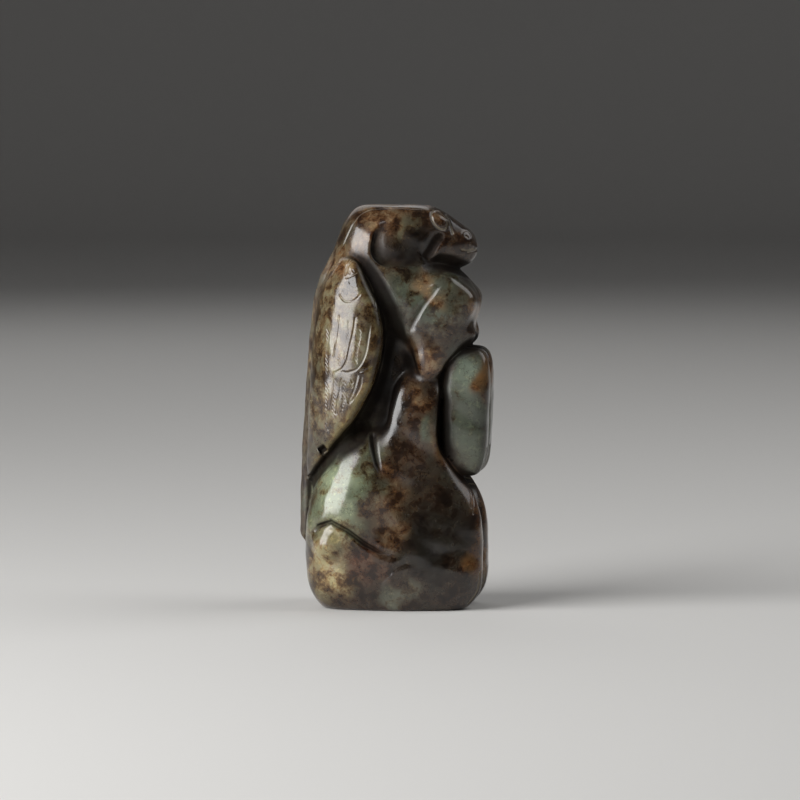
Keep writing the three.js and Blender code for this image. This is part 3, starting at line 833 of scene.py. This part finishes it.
def jade_colour(n, place):
    """Mottled jade: brown stains with rusty edges, fine veins, dirt and painted shade darkening the hollows
    and creases, pale dust in the cuts.
    """
    cloud = n.noise(place, 6, detail=4)
    tone = n.ramp(cloud, 0.3, 0.7, 0.6, 1.35)
    stone = n.mix(1.0, n.attribute("matrix").outputs["Color"], tone, "MULTIPLY")
    fleck = n.ramp(n.noise(place, 0.9, detail=5, roughness=0.7), 0.52, 0.68)
    stone = n.mix(n.math("MULTIPLY", fleck, 0.5), stone, n.mix(1.0, stone, (2.2, 2.1, 1.8), "MULTIPLY"))
    blotch = n.noise(place, 2.1, detail=8, roughness=0.68, distortion=0.25)
    edge = n.math("SUBTRACT", 0.76, n.math("MULTIPLY", n.share("stain"), 0.52))
    rust = n.ramp(n.math("SUBTRACT", blotch, edge), -0.09, 0.04)
    brown = n.ramp(n.math("SUBTRACT", blotch, edge), -0.03, 0.12)
    stone = n.mix(n.math("MULTIPLY", rust, 0.7), stone, STAIN_RUST, "MULTIPLY")
    stone = n.mix(n.math("MULTIPLY", brown, 0.9), stone, STAIN_BROWN, "MULTIPLY")
    veins = n.noise(place, 2.6, detail=6, roughness=0.6, distortion=0.6)
    near_half = n.math("ABSOLUTE", n.math("SUBTRACT", veins, 0.5))
    stone = n.mix(n.ramp(near_half, 0.0, 0.014, 0.6, 0.0), stone, STAIN_BROWN, "MULTIPLY")
    # Hollows and creases darkened towards near black: partly dirt, partly painted shade where light does not
    # reach
    stone = n.mix(n.ramp(n.share("hollow"), 0.1, 0.55, 0.0, 0.92), stone, DIRT_AND_PAINTED_SHADE)
    stone = n.mix(n.ramp(n.share("crease"), 0.05, 1.0, 0.0, 0.8), stone, DIRT_AND_PAINTED_SHADE)
    return n.mix(n.ramp(n.share("cut"), 0.15, 0.7, 0.0, 0.5), stone, CHALK)


def jade_roughness(n, place):
    """Polished where it was handled, duller on the hairy spine, in the cuts and in the hollows."""
    polish = n.ramp(n.noise(place, 1.6, detail=6, roughness=0.65), 0.3, 0.75, 0.1, 0.24)
    worn = n.math("MULTIPLY", n.share("spine"), 0.35)
    dull = n.math("MULTIPLY", n.ramp(n.share("cut"), 0.1, 0.6), 0.3)
    dirt_and_shade = n.ramp(n.math("MAXIMUM", n.share("hollow"), n.share("crease")), 0.1, 0.6, 0.0, 0.45)
    return n.math("ADD", n.math("ADD", polish, worn), n.math("ADD", dull, dirt_and_shade), clamp=True)


def jade_material():
    material = plain_material("jade", CELADON, 0.15)
    n = Nodes(material)
    place = n.places()
    n.link(jade_colour(n, place), n.shader.inputs["Base Color"])
    n.link(jade_roughness(n, place), n.shader.inputs["Roughness"])
    # Hollows and creases, darkened in colour as dirt and painted shade, also reflect less
    dirt_and_shade = n.math("MAXIMUM", n.share("hollow"), n.share("crease"))
    n.link(n.ramp(dirt_and_shade, 0.1, 0.55, 0.5, 0.06), n.shader.inputs["Specular IOR Level"])
    grain = n.bump(n.noise(place, 0.5, detail=4, roughness=0.6), 0.3, 0.014)
    pits = n.ramp(n.noise(place, 0.3, detail=2), 0.62, 0.72, 1.0, 0.0)
    pitted = n.bump(pits, 0.3, 0.02, grain)
    hair = n.math("MULTIPLY", n.noise(n.stretched(place, (1, 1, 0.35)), 0.35, detail=4), n.share("spine"))
    n.link(n.bump(hair, 0.6, 0.05, pitted), n.shader.inputs["Normal"])
    n.shader.inputs["IOR"].default_value = 1.62
    n.shader.inputs["Subsurface Weight"].default_value = 0.12
    n.shader.inputs["Subsurface Radius"].default_value = (1.0, 0.8, 0.5)
    n.shader.inputs["Subsurface Scale"].default_value = 0.6 * MM
    return material


def floor_piece():
    """Round pale floor that sweeps up into a wall far from the beast."""
    flat, bend, rim, sides = 1.6, 1.0, 2.6, 96
    turns = np.radians(np.linspace(0, 90, 17))
    radii = np.concatenate([[0.3, 0.8], flat + bend * np.sin(turns), [flat + bend]])
    heights = np.concatenate([[0, 0], bend * (1 - np.cos(turns)), [rim]])
    around = np.linspace(0, 2 * math.pi, sides, endpoint=False)
    points = [(0, 0, 0)]
    for radius, height in zip(radii, heights):
        points += [(radius * math.cos(t), radius * math.sin(t), height) for t in around]
    faces = [(0, 1 + i, 1 + (i + 1) % sides) for i in range(sides)]
    for ring in range(len(radii) - 1):
        start = 1 + ring * sides
        for i in range(sides):
            j = (i + 1) % sides
            faces.append((start + i, start + sides + i, start + sides + j, start + j))
    mesh = bpy.data.meshes.new("floor")
    mesh.from_pydata(points, [], faces)
    mesh.shade_smooth()
    mesh.materials.append(plain_material("pale_floor", (0.7, 0.69, 0.67), 0.8))
    floor = bpy.data.objects.new("floor", mesh)
    bpy.context.scene.collection.objects.link(floor)


def place_looking(thing, spot, target):
    direction = Vector(target) - Vector(spot)
    thing.location = spot
    thing.rotation_euler = direction.to_track_quat("-Z", "Y").to_euler()
    bpy.context.scene.collection.objects.link(thing)


def softbox(name, azimuth, elevation, distance, size, power):
    """Area light aimed at the beast. Azimuth 0 is its right flank, and grows towards its face."""
    a, e = math.radians(azimuth), math.radians(elevation)
    light = bpy.data.lights.new(name, "AREA")
    light.shape = "RECTANGLE"
    light.size, light.size_y = size
    light.energy = power
    away = np.array([math.sin(a) * math.cos(e), -math.cos(a) * math.cos(e), math.sin(e)])
    middle = np.array([0, 0, 0.5 * HEIGHT * MM])
    place_looking(bpy.data.objects.new(name, light), middle + away * distance, middle)


def camera():
    distance = 0.9
    frame_width = 135.5 * MM
    target = np.array([0.72, 0, 34.9]) * MM
    data = bpy.data.cameras.new("camera")
    data.sensor_width = 36
    data.lens = data.sensor_width * distance / frame_width
    data.clip_start = 0.01
    eye = bpy.data.objects.new("camera", data)
    place_looking(eye, target + SIGHT[2] * distance, target)
    bpy.context.scene.camera = eye


def studio():
    world = bpy.data.worlds.new("studio")
    world.use_nodes = True
    world.node_tree.nodes["Background"].inputs["Color"].default_value = (0.04, 0.04, 0.042, 1)
    bpy.context.scene.world = world
    softbox("key_softbox", -50, 16, 0.55, (0.5, 0.6), 6.4)
    softbox("side_softbox", 104, 42, 0.7, (0.6, 0.6), 1.8)
    softbox("back_softbox", 200, 35, 0.9, (0.6, 0.6), 0.8)
    bpy.context.scene.view_settings.view_transform = "Standard"


jade = jade_material()
beast_piece(jade)
floor_piece()
studio()
camera()
